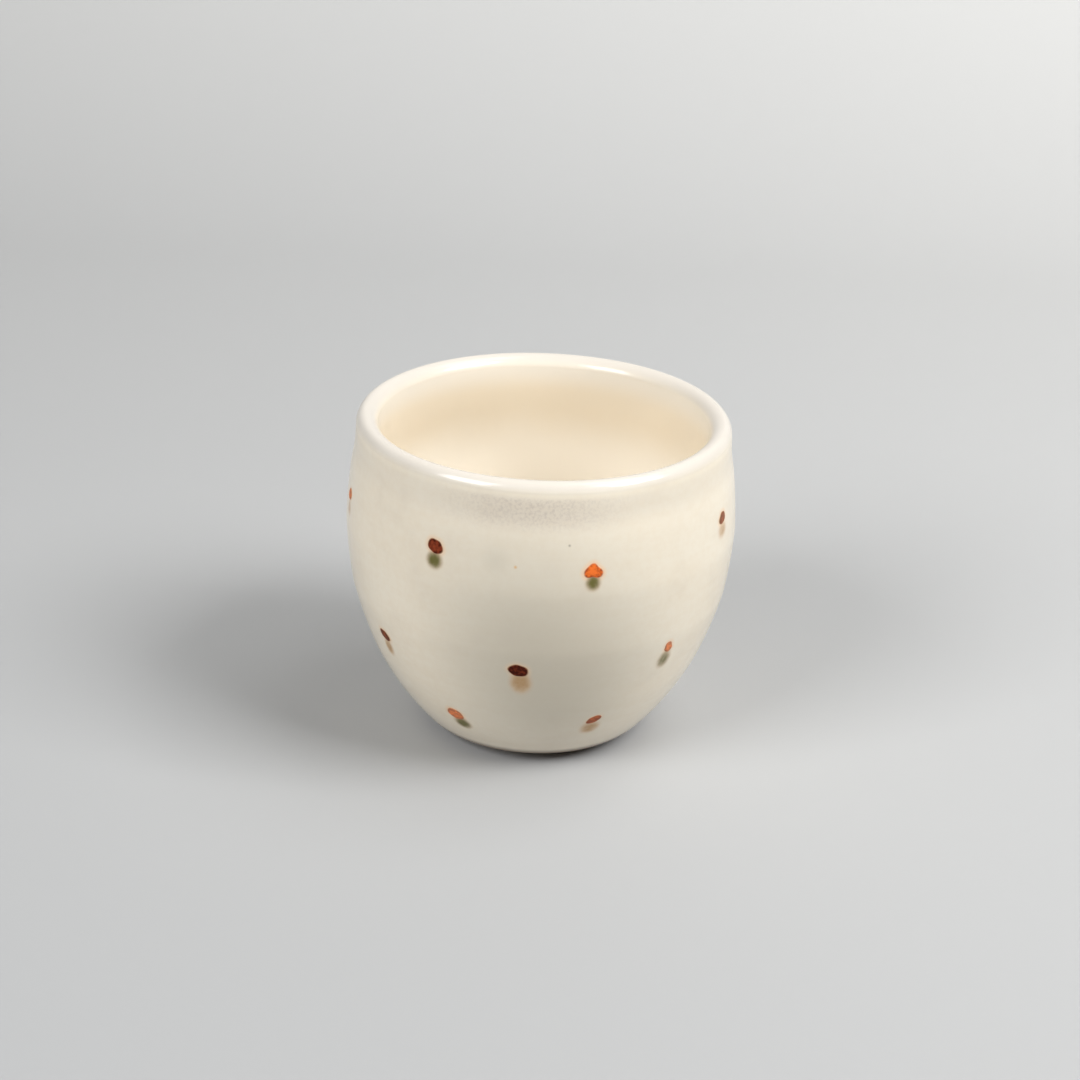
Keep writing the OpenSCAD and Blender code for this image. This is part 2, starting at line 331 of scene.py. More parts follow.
class CupOutline:
    """Half of the cup's section as arcs, each tangent to the next: x is the radius, y the height."""

    LIP_STEPS = 26
    BASE_EDGE_STEPS = 10
    # Heights of the throwing ridges outside
    RIDGES = (21 * MM, 36 * MM, 50.5 * MM, 64 * MM)
    # Below the height where it swells most, the throat eases off over this much
    THROAT_BELOW = 17 * MM
    # The throwing rings inside lie between these heights, and fade in and out over this much
    RINGS_FROM, RINGS_TO = 12 * MM, 62 * MM
    RINGS_FADE = 8 * MM
    # The groove under the lip reaches about this far up and down
    GROOVE_ABOVE, GROOVE_BELOW = 1.5 * MM, 5.0 * MM

    def __init__(self, form):
        self.form = form
        level = form.belly_height
        self.bowl = Vector((form.belly_radius - form.bowl_radius, level))
        self.shoulder_radius = form.shoulder_height / math.sin(form.shoulder_lean)
        self.shoulder = Vector((form.belly_radius - self.shoulder_radius, level))
        lean_change = math.sin(form.shoulder_lean) - math.sin(form.collar_lean)
        self.neck_radius = form.neck_height / lean_change
        neck_reach = self.shoulder_radius + self.neck_radius
        self.neck = self.shoulder + neck_reach * toward(form.shoulder_lean)
        collar_foot = self.neck - self.neck_radius * toward(form.collar_lean)
        self.lip_radius = form.lip_thickness / 2
        lip_level = form.height - self.lip_radius
        collar_top = lip_level + self.lip_radius * math.sin(form.collar_lean)
        lip_outside = collar_foot.x - (collar_top - collar_foot.y) * math.tan(form.collar_lean)
        self.lip = Vector((lip_outside - self.lip_radius * math.cos(form.collar_lean), lip_level))
        edge_level = form.foot_height + form.base_edge
        edge_reach = leg(form.bowl_radius - form.base_edge, level - edge_level)
        self.base_edge = Vector((self.bowl.x + edge_reach, edge_level))
        self.base_lean = math.asin((level - edge_level) / (form.bowl_radius - form.base_edge))

        inner_radius = form.belly_radius - form.wall_thickness
        reach = self.lip.x - inner_radius
        rise = lip_level - level
        squares = reach**2 + rise**2 - self.lip_radius**2
        self.mouth_radius = squares / (2 * (self.lip_radius - reach))
        self.mouth = Vector((inner_radius - self.mouth_radius, level))
        self.mouth_lean = math.asin(rise / (self.mouth_radius + self.lip_radius))
        self.inner_bowl = Vector((inner_radius - form.inner_bowl_radius, level))
        self.dish = Vector((0, form.floor_height + form.dish_radius))
        self.bend = self.find_bend()

    def find_bend(self):
        """Centre of the bend that rolls inside both the inner bowl and the dish of the floor."""
        form = self.form
        bowl_reach = form.inner_bowl_radius - form.bend_radius
        dish_reach = form.dish_radius - form.bend_radius
        gap = (self.dish - self.inner_bowl).length
        along = (bowl_reach**2 - dish_reach**2 + gap**2) / (2 * gap)
        ahead = (self.dish - self.inner_bowl) / gap
        return self.inner_bowl + along * ahead + leg(bowl_reach, along) * Vector((ahead.y, -ahead.x))

    def outside(self, depth):
        """From under the base edge up to the top of the lip, sunk into the wall by depth."""
        form = self.form
        edge_radius = form.base_edge - depth
        neck_foot, neck_top = HALF_TURN + form.shoulder_lean, HALF_TURN + form.collar_lean
        return (
            arc(self.base_edge, edge_radius, -QUARTER_TURN, -self.base_lean, self.BASE_EDGE_STEPS)
            + arc(self.bowl, form.bowl_radius - depth, -self.base_lean, 0)[1:]
            + arc(self.shoulder, self.shoulder_radius - depth, 0, form.shoulder_lean)[1:]
            + arc(self.neck, self.neck_radius + depth, neck_foot, neck_top)[1:]
            + arc(self.lip, self.lip_radius - depth, form.collar_lean, QUARTER_TURN, self.LIP_STEPS)
        )

    def inside(self, depth):
        """From the top of the lip down to the middle of the floor, sunk into the wall by depth."""
        form = self.form
        bend_top = bearing_of(self.bend - self.inner_bowl)
        bend_foot = bearing_of(self.bend - self.dish)
        lip_end = HALF_TURN + self.mouth_lean
        return (
            arc(self.lip, self.lip_radius - depth, QUARTER_TURN, lip_end, self.LIP_STEPS)
            + arc(self.mouth, self.mouth_radius + depth, self.mouth_lean, 0)[1:]
            + arc(self.inner_bowl, form.inner_bowl_radius + depth, 0, bend_top)[1:]
            + arc(self.bend, form.bend_radius + depth, bend_top, bend_foot)[1:]
            + arc(self.dish, form.dish_radius + depth, bend_foot, -QUARTER_TURN)[1:]
        )

    def throat(self, level):
        """How far the inside swells at a height: it flares up to the lip, and eases off below."""
        form = self.form
        rise = level - form.throat_height
        if rise > 0:
            flare = rise / (form.height - form.throat_height)
            return form.throat_swell * (1 - flare**2)
        return form.throat_swell * smooth_step(1 + rise / self.THROAT_BELOW)

    def with_rings(self, points):
        """Presses soft rings into the inside of the wall, and swells it to a throat under the lip."""
        form = self.form
        ringed = []
        for point in points:
            fade_in = clamped((point.y - self.RINGS_FROM) / self.RINGS_FADE)
            fade_out = clamped((self.RINGS_TO - point.y) / self.RINGS_FADE)
            wave = soft_wave(point.y, form.ring_spacing)
            outwards = min(fade_in, fade_out) * wave * form.ring_depth - self.throat(point.y)
            ringed.append(Vector((point.x + outwards, point.y)))
        return ringed

    def rounding(self, level, drop):
        """How far the lip draws in at a height, as an ellipse that reaches down by drop."""
        share = clamped(1 - (self.form.height - level) / drop)
        return self.lip_radius * (1 - leg(1, share))

    def with_ridges(self, points):
        """Leaves soft ridges on the outside, rounds the lip and presses in a groove under it."""
        form = self.form
        ridged = []
        for point in points:
            rise = point.y - form.groove_height
            groove_reach = self.GROOVE_ABOVE if rise > 0 else self.GROOVE_BELOW
            inwards = form.groove_depth * math.exp(-((rise / groove_reach) ** 2))
            inwards += self.rounding(point.y, form.lip_drop) - self.rounding(point.y, self.lip_radius)
            for low, high in zip(self.RIDGES, self.RIDGES[1:]):
                share = clamped((point.y - low) / (high - low))
                inwards += 4 * form.ridge_depth * share * (1 - share)
            ridged.append(Vector((point.x - inwards, point.y)))
        return ridged


def deselect_all():
    bpy.ops.object.select_all(action="DESELECT")


def begin_piece(name):
    """Starts a mesh at the origin with a single vertex, and leaves it in edit mode."""
    deselect_all()
    bpy.ops.mesh.primitive_plane_add(size=MM)
    piece = bpy.context.object
    piece.name = piece.data.name = name
    bpy.ops.object.mode_set(mode="EDIT")
    bpy.ops.mesh.merge(type="CENTER")
    return piece


def draw_line(points):
    """Extrudes the one vertex from point to point."""
    bpy.ops.transform.translate(value=points[0])
    for here, there in zip(points, points[1:]):
        bpy.ops.mesh.extrude_vertices_move(TRANSFORM_OT_translate={"value": there - here})


def weld_and_face_outwards():
    bpy.ops.mesh.select_all(action="SELECT")
    bpy.ops.mesh.remove_doubles(threshold=WELD)
    bpy.ops.mesh.normals_make_consistent(inside=False)
    bpy.ops.object.mode_set(mode="OBJECT")
    bpy.ops.object.shade_smooth_by_angle(angle=CREASE)


def turn_on_wheel(name, outline):
    """Spins an outline once round the cup's axis."""
    piece = begin_piece(name)
    draw_line([Vector((point.x, 0, point.y)) for point in outline])
    bpy.ops.mesh.select_all(action="SELECT")
    bpy.ops.mesh.spin(steps=WHEEL_STEPS, angle=math.tau, center=(0, 0, 0), axis=(0, 0, 1))
    weld_and_face_outwards()
    return piece


def apply_modifier(piece, modifier):
    bpy.context.view_layer.objects.active = piece
    bpy.ops.object.modifier_apply(modifier=modifier.name)


def make_uneven(piece, form):
    """Lets the wall stray a little from round, but not the foot. All turned pieces stray alike."""
    foot_level, full_level = 6 * MM, 30 * MM
    stretch = 45 * MM
    group = piece.vertex_groups.new(name="above_foot")
    for vertex in piece.data.vertices:
        weight = (vertex.co.z - foot_level) / (full_level - foot_level)
        group.add([vertex.index], clamped(weight), "REPLACE")
    clouds = bpy.data.textures.get("hand_work") or bpy.data.textures.new("hand_work", "CLOUDS")
    clouds.cloud_type = "COLOR"
    clouds.noise_scale = stretch
    clouds.noise_depth = 1
    modifier = piece.modifiers.new("hand_work", "DISPLACE")
    modifier.texture = clouds
    modifier.texture_coords = "LOCAL"
    modifier.direction = "RGB_TO_XYZ"
    modifier.strength = form.unevenness
    modifier.vertex_group = group.name
    apply_modifier(piece, modifier)


def finish_piece(piece, material, node):
    """Dresses a piece, stands it for its CAD node and lets it move with the cup."""
    piece.data.materials.clear()
    piece.data.materials.append(material)
    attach(piece, "root")
    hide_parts(node)


class Field:
    """A value that varies over a surface: an output of a node that takes part in Python expressions."""

    def __init__(self, tree, socket):
        self.tree = tree
        self.socket = socket

    def node(self, kind, settings, inputs, output=0):
        """Adds a node, sets it up, fills its inputs and gives one of its outputs."""
        made = self.tree.nodes.new(kind)
        for name, value in settings.items():
            setattr(made, name, value)
        for name, value in inputs.items():
            if isinstance(value, Field):
                self.tree.links.new(value.socket, made.inputs[name])
            else:
                made.inputs[name].default_value = value
        return Field(self.tree, made.outputs[output])

    def maths(self, operation, *values):
        return self.node("ShaderNodeMath", {"operation": operation}, dict(enumerate(values)))

    def __add__(self, other):
        return self.maths("ADD", self, other)

    def __sub__(self, other):
        return self.maths("SUBTRACT", self, other)

    def __rsub__(self, other):
        return self.maths("SUBTRACT", other, self)

    def __mul__(self, other):
        return self.maths("MULTIPLY", self, other)

    def __pow__(self, other):
        return self.maths("POWER", self, other)

    __radd__ = __add__
    __rmul__ = __mul__

    def ramp(self, low, high):
        """0 up to low, 1 from high on, smooth between them."""
        return self.node(
            "ShaderNodeMapRange",
            {"interpolation_type": "SMOOTHSTEP"},
            {"Value": self, "From Min": low, "From Max": high},
        )

    def tint(self, low_colour, high_colour):
        """low_colour where this is 0, high_colour where it is 1."""
        factor, low_socket, high_socket, mixed = 0, 6, 7, 2
        return self.node(
            "ShaderNodeMix",
            {"data_type": "RGBA"},
            {factor: self, low_socket: with_alpha(low_colour), high_socket: with_alpha(high_colour)},
            mixed,
        )

    def clouds(self, size, detail=2.0, roughness=0.5):
        """Soft noise of about that size, in metres, at these coordinates."""
        return self.node(
            "ShaderNodeTexNoise",
            {"noise_dimensions": "3D"},
            {"Vector": self, "Scale": 1 / size, "Detail": detail, "Roughness": roughness},
        )

    def near(self, point, radius):
        """1 at a point, falling to 0 at the radius from it."""
        distance = self.node(
            "ShaderNodeVectorMath", {"operation": "DISTANCE"}, {0: self, 1: point}, "Value"
        )
        return 1 - distance.ramp(0.0, radius)

    def flattened(self, times):
        """These coordinates with heights that many times as far apart, so that a pattern lies flat."""
        return self.node(
            "ShaderNodeVectorMath", {"operation": "MULTIPLY"}, {0: self, 1: (1, 1, times)}, "Vector"
        )

    def parts(self):
        """X, Y and Z of these coordinates."""
        return [self.node("ShaderNodeSeparateXYZ", {}, {0: self}, axis) for axis in "XYZ"]

    def height(self):
        return self.parts()[2]


def with_alpha(value):
    return value if isinstance(value, Field) else (*value, 1)


class Finish:
    """A new material with one shader, and the fields that its patterns start from."""

    def __init__(self, name, **constants):
        self.material = bpy.data.materials.new(name)
        self.material.use_nodes = True
        self.tree = self.material.node_tree
        self.shader = self.tree.nodes["Principled BSDF"]
        for socket, value in constants.items():
            self.shader.inputs[socket.replace("_", " ")].default_value = value
        self.start = Field(self.tree, None)
        self.place = self.start.node("ShaderNodeTexCoord", {}, {}, "Object")

    def attribute(self, name):
        return self.start.node("ShaderNodeAttribute", {"attribute_name": name}, {}, "Fac")

    def paint(self, base_colour, roughness, relief, relief_depth):
        """Wires up the shader: relief is a field of heights, from 0 to 1 of relief_depth."""
        normal = self.start.node(
            "ShaderNodeBump", {}, {"Height": relief, "Distance": relief_depth, "Strength": 1.0}
        )
        for socket, value in (
            ("Base Color", base_colour),
            ("Roughness", roughness),
            ("Normal", normal),
        ):
            self.tree.links.new(value.socket, self.shader.inputs[socket])
        return self.material


# Depths of the relief in the finishes
GLAZE_RELIEF = 0.025 * MM
DAB_RELIEF = 0.02 * MM
CLAY_RELIEF = 0.12 * MM
PAPER_RELIEF = 0.01 * MM
# Heights over which the glaze outside changes: at the lip, in the groove under it and at the foot;
# painted shade comes in at all three
LIP_FADE = (72.2 * MM, 74.2 * MM)
GROOVE_FADE_IN = (63 * MM, 68 * MM)
GROOVE_FADE_OUT = (71 * MM, 72.4 * MM)
FOOT_FADE = (2.8 * MM, 5.2 * MM)
# Heights over which the glaze inside changes: to the painted shade in the throat, to the inner lip's, to
# the outside's
THROAT_FADE = (50 * MM, 63 * MM)
INNER_LIP_FADE = (66 * MM, 72 * MM)
RIM_FADE = (72 * MM, 74.5 * MM)
# Height and radius over which the clay passes into the outer face of the foot, where painted shade
# darkens it
FOOT_FACE_LEVEL = (0.3 * MM, 1.2 * MM)
FOOT_FACE_REACH = (20 * MM, 21 * MM)


def cream_fields(finish, colours):
    """Colour, roughness and relief of the cream glaze, which every coat and stain has in common."""
    place = finish.place
    broad = place.clouds(22 * MM, detail=3).ramp(0.3, 0.75)
    fine = place.clouds(1.6 * MM, detail=4, roughness=0.6)
    streaks = place.flattened(7).clouds(12 * MM, detail=3).ramp(0.3, 0.7)
    # How thin the glaze lies: drifts, a mottle and level streaks, each with its share
    thin = 0.5 * broad + 0.35 * fine.ramp(0.35, 0.65) + 0.3 * streaks - 0.08
    base = thin.tint(colours.cream, colours.warm_cream)
    # Darker on top of the lip: thin glaze there, and painted shade against the light on its top
    base = place.height().ramp(*LIP_FADE).tint(base, colours.lip)
    roughness = 0.13 + 0.1 * fine
    relief = 0.8 * place.clouds(5 * MM) + 0.2 * fine
    return base, roughness, relief


def on_wall(turn, height, radius):
    """The point at a turn, in degrees from the front to the right, and a height on a round wall."""
    bearing = math.radians(turn)
    return Vector((radius * math.sin(bearing), -radius * math.cos(bearing), height))


def inner_glaze_finish(colours):
    """Cream glaze with painted shade in the throat, lighter below, that meets the outer one at the lip.
    """
    finish = Finish("cream_glaze_inside", IOR=1.5)
    base, roughness, relief = cream_fields(finish, colours)
    level = finish.place.height()
    # The edge of the painted shade wanders up and down by up to half of this
    wander = 6 * MM
    drift = finish.place.clouds(14 * MM)
    # Share of painted shade: none low down, full in the throat
    thin = (level + wander * (drift - 0.5)).ramp(*THROAT_FADE)
    inside = thin.tint(colours.inner_cream, colours.inner_shade)
    inside = level.ramp(*INNER_LIP_FADE).tint(inside, colours.inner_lip)
    base = level.ramp(*RIM_FADE).tint(inside, base)
    return finish.paint(base, roughness, relief, GLAZE_RELIEF)


def shaded_cream_fields(finish, colours, painted_shade):
    """The cream glaze on the outside, with a greyish cast and painted shade in darker places, broadest
    on the front.
    """
    base, roughness, relief = cream_fields(finish, colours)
    place = finish.place
    # Painted shade: darker places, the broadest on the front
    for point, reach, strength in painted_shade:
        base = (strength * place.near(point, reach)).tint(base, colours.painted_shade)
    cast_strength = 0.16
    cast = place.clouds(11 * MM, detail=3, roughness=0.55).ramp(0.52, 0.8)
    return (cast_strength * cast).tint(base, colours.cast_and_groove_shade), roughness, relief


def outer_glaze_finish(colours, painted_shade, crackled_and_shaded, specks):
    """Cream glaze with a few specks and crackle in the groove by the lip, and painted shade on the
    front, in that groove and near the foot.
    """
    finish = Finish("cream_glaze_outside", IOR=1.5)
    base, roughness, relief = shaded_cream_fields(finish, colours, painted_shade)
    place = finish.place
    level = place.height()
    groove = level.ramp(*GROOVE_FADE_IN) * (1 - level.ramp(*GROOVE_FADE_OUT))
    crackle = place.clouds(0.6 * MM, detail=3, roughness=0.6).ramp(0.38, 0.72)
    # Painted shade in the groove: a little all round, and much more at the places of crackle, mottled
    # there by the crackle
    groove_shade = 0.14
    for point, reach, strength in crackled_and_shaded:
        groove_shade = groove_shade + strength * place.near(point, reach) * (0.28 + 0.45 * crackle)
    base = (groove * groove_shade).tint(base, colours.cast_and_groove_shade)
    foot_shade_strength, speck_strength = 0.9, 0.8
    # Painted shade under the base: the glaze just above the foot goes nearly black
    foot_shade = 1 - level.ramp(*FOOT_FADE)
    base = (foot_shade_strength * foot_shade).tint(base, colours.toasted_clay_and_shade)
    for point, radius, metal in specks:
        base = (speck_strength * place.near(point, radius)).tint(base, metal)
    return finish.paint(base, roughness, relief, GLAZE_RELIEF)


def stain_finish(name, colours, painted_shade, stain_colour):
    """Cream glaze with the outer coat's painted shade, which takes up a stain where the piece's own
    stain attribute says so.
    """
    finish = Finish(name, IOR=1.5)
    base, roughness, relief = shaded_cream_fields(finish, colours, painted_shade)
    blush_strength, halo_strength = 0.85, 0.45
    cloudy = finish.place.clouds(1.2 * MM, detail=3)
    # First the blush round the dab, then a halo of the same colour, and the stain over both
    base = (blush_strength * finish.attribute("blush") ** 1.6).tint(base, colours.blush)
    uneven = finish.attribute("stain") * (0.75 + 0.5 * cloudy)
    base = (halo_strength * uneven.ramp(0.0, 0.7)).tint(base, colours.blush)
    base = uneven.ramp(0.05, 1.0).tint(base, stain_colour)
    return finish.paint(base, roughness, relief, GLAZE_RELIEF)


def dab_finish(name, dark, bright, blush):
    """Coloured glaze with a tone for each dab, darker to the edge, where it melts into the cream."""
    finish = Finish(name, IOR=1.52, Specular_IOR_Level=0.05)
    place = finish.place
    grain, fringe_strength = 0.8 * MM, 0.75
    mottle = place.clouds(grain, detail=3).ramp(0.3, 0.7)
    edge = finish.attribute("edge") ** 1.4
    # The dab's own tone, darkened towards the edge, and a mottle that both lightens and darkens it
    tone = finish.attribute("tone") * (1.1 - 0.75 * edge) + 0.56 * mottle - 0.24
    base = tone.ramp(0.0, 1.0).tint(dark, bright)
    fringe = fringe_strength * finish.attribute("edge").ramp(0.8, 1.0)
    base = fringe.maths("MAXIMUM", fringe, finish.attribute("melt")).tint(base, blush)
    roughness = 0.5 + 0.12 * mottle
    return finish.paint(base, roughness, place.clouds(grain), DAB_RELIEF)


def bare_clay_finish(colours):
    """Buff clay with dark grains in it, browned in flushes, with painted shade on the outer face of the
    foot.
    """
    finish = Finish("bare_clay", IOR=1.45)
    place = finish.place
    grain = place.clouds(0.5 * MM, detail=5, roughness=0.65)
    grog = place.clouds(0.8 * MM, detail=1).ramp(0.66, 0.72)
    flush = place.clouds(14 * MM, detail=2).ramp(0.35, 0.7)
    across, back, level = place.parts()
    reach = (across * across + back * back) ** 0.5
    shaded_foot_face = level.ramp(*FOOT_FACE_LEVEL) * reach.ramp(*FOOT_FACE_REACH)
    # How brown the clay is: in flushes and from grain to grain, and nearly black with painted shade on
    # the outer face of the foot
    toast_and_shade = (0.45 * flush + 0.9 * shaded_foot_face + 0.3 * grain - 0.1).ramp(0.0, 1.0)
    base = toast_and_shade.tint(colours.bare_clay, colours.toasted_clay_and_shade)
    base = (0.5 * grog).tint(base, colours.toasted_clay_and_shade)
    roughness = 0.72 + 0.2 * grain
    relief = 0.7 * grain + 0.3 * grog
    return finish.paint(base, roughness, relief, CLAY_RELIEF)


def floor_finish(look):
    """Paper with painted light: darker in front on the left, lighter behind on the right and up the
    sweep.
    """
    finish = Finish("paper_floor", IOR=1.4)
    fibre = finish.place.clouds(1.5 * MM, detail=4, roughness=0.6)
    across, back, up = finish.place.parts()
    # The painted light under the cup, how much it gains per metre each way, and the share of the fibres
    under_cup, to_right, to_back, upwards, fibre_share = 0.235, 0.6, 0.68, 2.1, 0.03
    painted_light = under_cup + to_right * across + to_back * back + upwards * up + fibre_share * fibre
    painted_light_share = painted_light.maths("MINIMUM", painted_light.maths("MAXIMUM", painted_light, 0.0), 1.0)
    base = painted_light_share.tint(look.shaded_paper, look.lit_paper)
    roughness = 0.6 + 0.1 * fibre
    return finish.paint(base, roughness, fibre, PAPER_RELIEF)


class TEACUP_OT_throw_clay_body(bpy.types.Operator):
    """Throws the clay wall and turns the foot ring and its recess"""

    bl_idname = "teacup.throw_clay_body"
    bl_label = "Throw clay body"

    # Grooves of the turning tool in the recess, and the button that it left in the middle
    GROOVE = 0.06 * MM
    GROOVE_SPACING = 1.7 * MM
    BUTTON_RADIUS = 2.4 * MM
    BUTTON_RISE = 0.35 * MM
    RECESS_STEPS = 90

    def recess(self, form):
        """From the middle of the recess out to its wall: a small button, then fine grooves."""
        outer = form.foot_radius - form.foot_width - form.foot_flare
        points = []
        for i in range(self.RECESS_STEPS):
            radius = outer * i / self.RECESS_STEPS
            button = max(0, 1 - (radius / self.BUTTON_RADIUS) ** 2)
            groove = soft_wave(radius, self.GROOVE_SPACING)
            rise = self.GROOVE * groove - self.BUTTON_RISE * button**2
            points.append(Vector((radius, form.recess_height + rise)))
        return points

    def foot(self, form):
        """Round the foot ring to where the outer coat starts."""
        inner = form.foot_radius - form.foot_width
        edge = form.foot_edge
        corner = Vector((inner - form.foot_flare, form.recess_height))
        top = Vector((form.foot_radius + form.foot_flare, form.foot_height + form.glaze_thickness))
        return (
            [corner]
            + arc(Vector((inner + edge, edge)), edge, HALF_TURN, 3 * QUARTER_TURN)
            + arc(Vector((form.foot_radius - edge, edge)), edge, -QUARTER_TURN, 0)
            + [top]
        )

    def execute(self, context):
        form, colours = context.scene.cup_form, context.scene.cup_colours
        outline = CupOutline(form)
        sunk = form.glaze_thickness
        inside = outline.with_rings(outline.inside(sunk))
        section = self.recess(form) + self.foot(form) + outline.outside(sunk) + inside
        piece = turn_on_wheel("thrown_clay_body", section)
        make_uneven(piece, form)
        finish_piece(piece, bare_clay_finish(colours), "clay_body")
        return {"FINISHED"}


class TEACUP_OT_pour_liner_glaze(bpy.types.Operator):
    """Pours the glaze coat inside, over the soft rings of the thrown wall"""

    bl_idname = "teacup.pour_liner_glaze"
    bl_label = "Pour liner glaze"

    def execute(self, context):
        form, colours = context.scene.cup_form, context.scene.cup_colours
        outline = CupOutline(form)
        face = outline.with_rings(outline.inside(0))
        back = outline.with_rings(outline.inside(form.glaze_thickness))[::-1]
        piece = turn_on_wheel("poured_liner_glaze", face + back + face[:1])
        make_uneven(piece, form)
        finish_piece(piece, inner_glaze_finish(colours), "liner_glaze")
        return {"FINISHED"}


class TEACUP_OT_dip_outer_glaze(bpy.types.Operator):
    """Lays the glaze coat outside, from the lip to a rolled edge short of the foot"""

    bl_idname = "teacup.dip_outer_glaze"
    bl_label = "Dip outer glaze"

    def rolled_edge(self, form):
        """The round edge where the glaze stopped running, from the clay out to the face of the coat."""
        half = form.glaze_thickness / 2
        start = form.foot_radius + form.foot_flare + form.bare_width + half
        centre = Vector((start, form.foot_height + half))
        return arc(centre, half, QUARTER_TURN, 3 * QUARTER_TURN, least=8)

    def execute(self, context):
        form, colours = context.scene.cup_form, context.scene.cup_colours
        outline = CupOutline(form)
        face = outline.with_ridges(outline.outside(0))
        back = outline.outside(form.glaze_thickness)[::-1]
        edge = self.rolled_edge(form)
        piece = turn_on_wheel("dipped_outer_glaze", edge + face + back + edge[:1])
        make_uneven(piece, form)
        specks = [
            (find_wall(piece, turn, level * MM)[0], radius * MM, getattr(colours, metal))
            for turn, level, radius, metal in SPECKS
        ]
        painted_shade, crackled_and_shaded = wall_places(piece, PAINTED_SHADE), wall_places(piece, CRACKLE_AND_SHADE)
        material = outer_glaze_finish(colours, painted_shade, crackled_and_shaded, specks)
        finish_piece(piece, material, "outer_glaze")
        return {"FINISHED"}


def find_wall(coat, turn, level):
    """The place on the outer coat at a turn and height, and the way straight out of it there."""
    far = on_wall(turn, level, 2 * CAD_WIDTH)
    found, place, normal, _ = coat.ray_cast(far, (Vector((0, 0, level)) - far).normalized())
    if not found:
        raise RuntimeError(f"no glaze at turn {turn}, height {level}")
    return place, normal


def wall_places(coat, places):
    """Where on the outer coat the places of a list are, how far each reaches and how strong it is."""
    return [
        (find_wall(coat, turn, level * MM)[0], reach * MM, strength)
        for turn, level, reach, strength in places
    ]


def stand_on_wall(piece, coat, turn, level):
    """Moves a piece from the origin to the wall, its Y up the wall and its Z straight out of it."""
    place, out = find_wall(coat, turn, level)
    level_way = Vector((0, 0, 1)).cross(out).normalized()
    up_wall = out.cross(level_way)
    turned = Matrix((level_way, up_wall, out)).transposed().to_4x4()
    piece.matrix_world = Matrix.Translation(place) @ turned
    deselect_all()
    piece.select_set(True)
    bpy.context.view_layer.objects.active = piece
    bpy.ops.object.transform_apply(location=True, rotation=True, scale=True)


def write_attribute(piece, name, value_at):
    """Stores a number at each vertex, worked out from where it is."""
    attribute = piece.data.attributes.new(name, "FLOAT", "POINT")
    attribute.data.foreach_set("value", [value_at(vertex.co) for vertex in piece.data.vertices])


def join_as(name, copies):
    """Joins the copies of a like kind into one piece."""
    deselect_all()
    for piece in copies:
        piece.select_set(True)
    bpy.context.view_layer.objects.active = copies[0]
    bpy.ops.object.join()
    joined = bpy.context.object
    joined.name = joined.data.name = name
    bpy.ops.object.shade_smooth_by_angle(angle=CREASE)
    return joined


def numbered_dabs():
    """Each dab's turn, height and look, and a phase of its own for the wobble of its outline."""
    phase_step = 1.7
    dabs = []
    for number, (turn, level, name) in enumerate(DABS):
        dabs.append((turn, level * MM, LOOKS[name], phase_step * number))
    return dabs


def dab_reach(look, bearing, phase):
    """How far the outline of a dab lies from its middle at a bearing."""
    half_long, half_short = look.long * MM / 2, look.short * MM / 2
    turned = bearing - math.radians(look.slant)
    across, along = half_short * math.cos(turned), half_long * math.sin(turned)
    oval = half_long * half_short / math.hypot(across, along)
    cornered = 1 + look.corners * math.cos(3 * (bearing - QUARTER_TURN))
    # A broad wobble with two waves round the dab, and a finer one with five
    broad, fine = 0.035, 0.03
    wobble = 1 + broad * math.sin(2 * bearing + phase) + fine * math.sin(5 * bearing + 2 * phase)
    return oval * cornered * wobble


